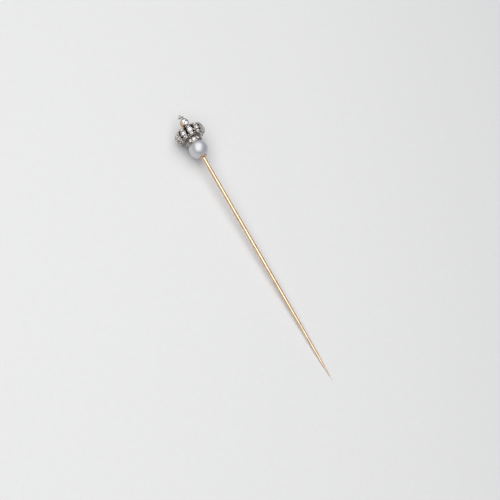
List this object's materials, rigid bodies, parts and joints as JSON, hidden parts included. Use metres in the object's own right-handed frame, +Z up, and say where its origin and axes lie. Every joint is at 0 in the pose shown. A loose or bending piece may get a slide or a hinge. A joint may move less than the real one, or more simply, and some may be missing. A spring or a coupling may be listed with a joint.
{
  "type": "hat pin",
  "caption": "Antique gold stick pin with a round pearl and an arched royal crown in silver set with old-cut stones, topped by an orb and a cross.",
  "frame": {"origin": "the middle of the pin's length, on the surface it lies on, under the crown's and the wire's centre line", "axes": "+X from the wire's point towards the crown, +Z up from the surface it lies on, +Y completes the right-handed set"},
  "size_m": [0.0804, 0.0082, 0.0082],
  "materials": {
    "gold": "polished yellow gold",
    "silver": "aged silver, bright edges and dark recesses",
    "diamond": "old and rose cuts, polished",
    "pearl": "white nacre with a soft lustre"
  },
  "bodies": {
    "root": {"stem": "gold", "pearl_cup": "gold", "pearl_peg": "gold", "crown_seat": "gold", "orb_collet": "gold", "circlet_band": "silver", "circlet_lower_wire": "silver", "circlet_rope_wire": "silver", "crown_base": "silver", "points": "silver", "top_boss": "silver", "orb_bezel": "silver", "cross": "silver", "cross_grains": "silver", "arch_1": "silver", "arch_2": "silver", "arch_3": "silver", "arch_4": "silver", "arch_5": "silver", "arch_6": "silver", "arch_7": "silver", "arch_8": "silver", "arch_9": "silver", "arch_10": "silver", "arch_11": "silver", "arch_12": "silver", "circlet_stones": "diamond", "orb_stone": "diamond", "lower_stone_1": "diamond", "lower_stone_2": "diamond", "lower_stone_3": "diamond", "lower_stone_4": "diamond", "lower_stone_5": "diamond", "lower_stone_6": "diamond", "lower_stone_7": "diamond", "lower_stone_8": "diamond", "lower_stone_9": "diamond", "lower_stone_10": "diamond", "lower_stone_11": "diamond", "lower_stone_12": "diamond", "middle_stone_1": "diamond", "middle_stone_2": "diamond", "middle_stone_3": "diamond", "middle_stone_4": "diamond", "middle_stone_5": "diamond", "middle_stone_6": "diamond", "middle_stone_7": "diamond", "middle_stone_8": "diamond", "middle_stone_9": "diamond", "middle_stone_10": "diamond", "middle_stone_11": "diamond", "middle_stone_12": "diamond", "upper_stones": "diamond", "pearl": "pearl"}
  },
  "joints": []
}
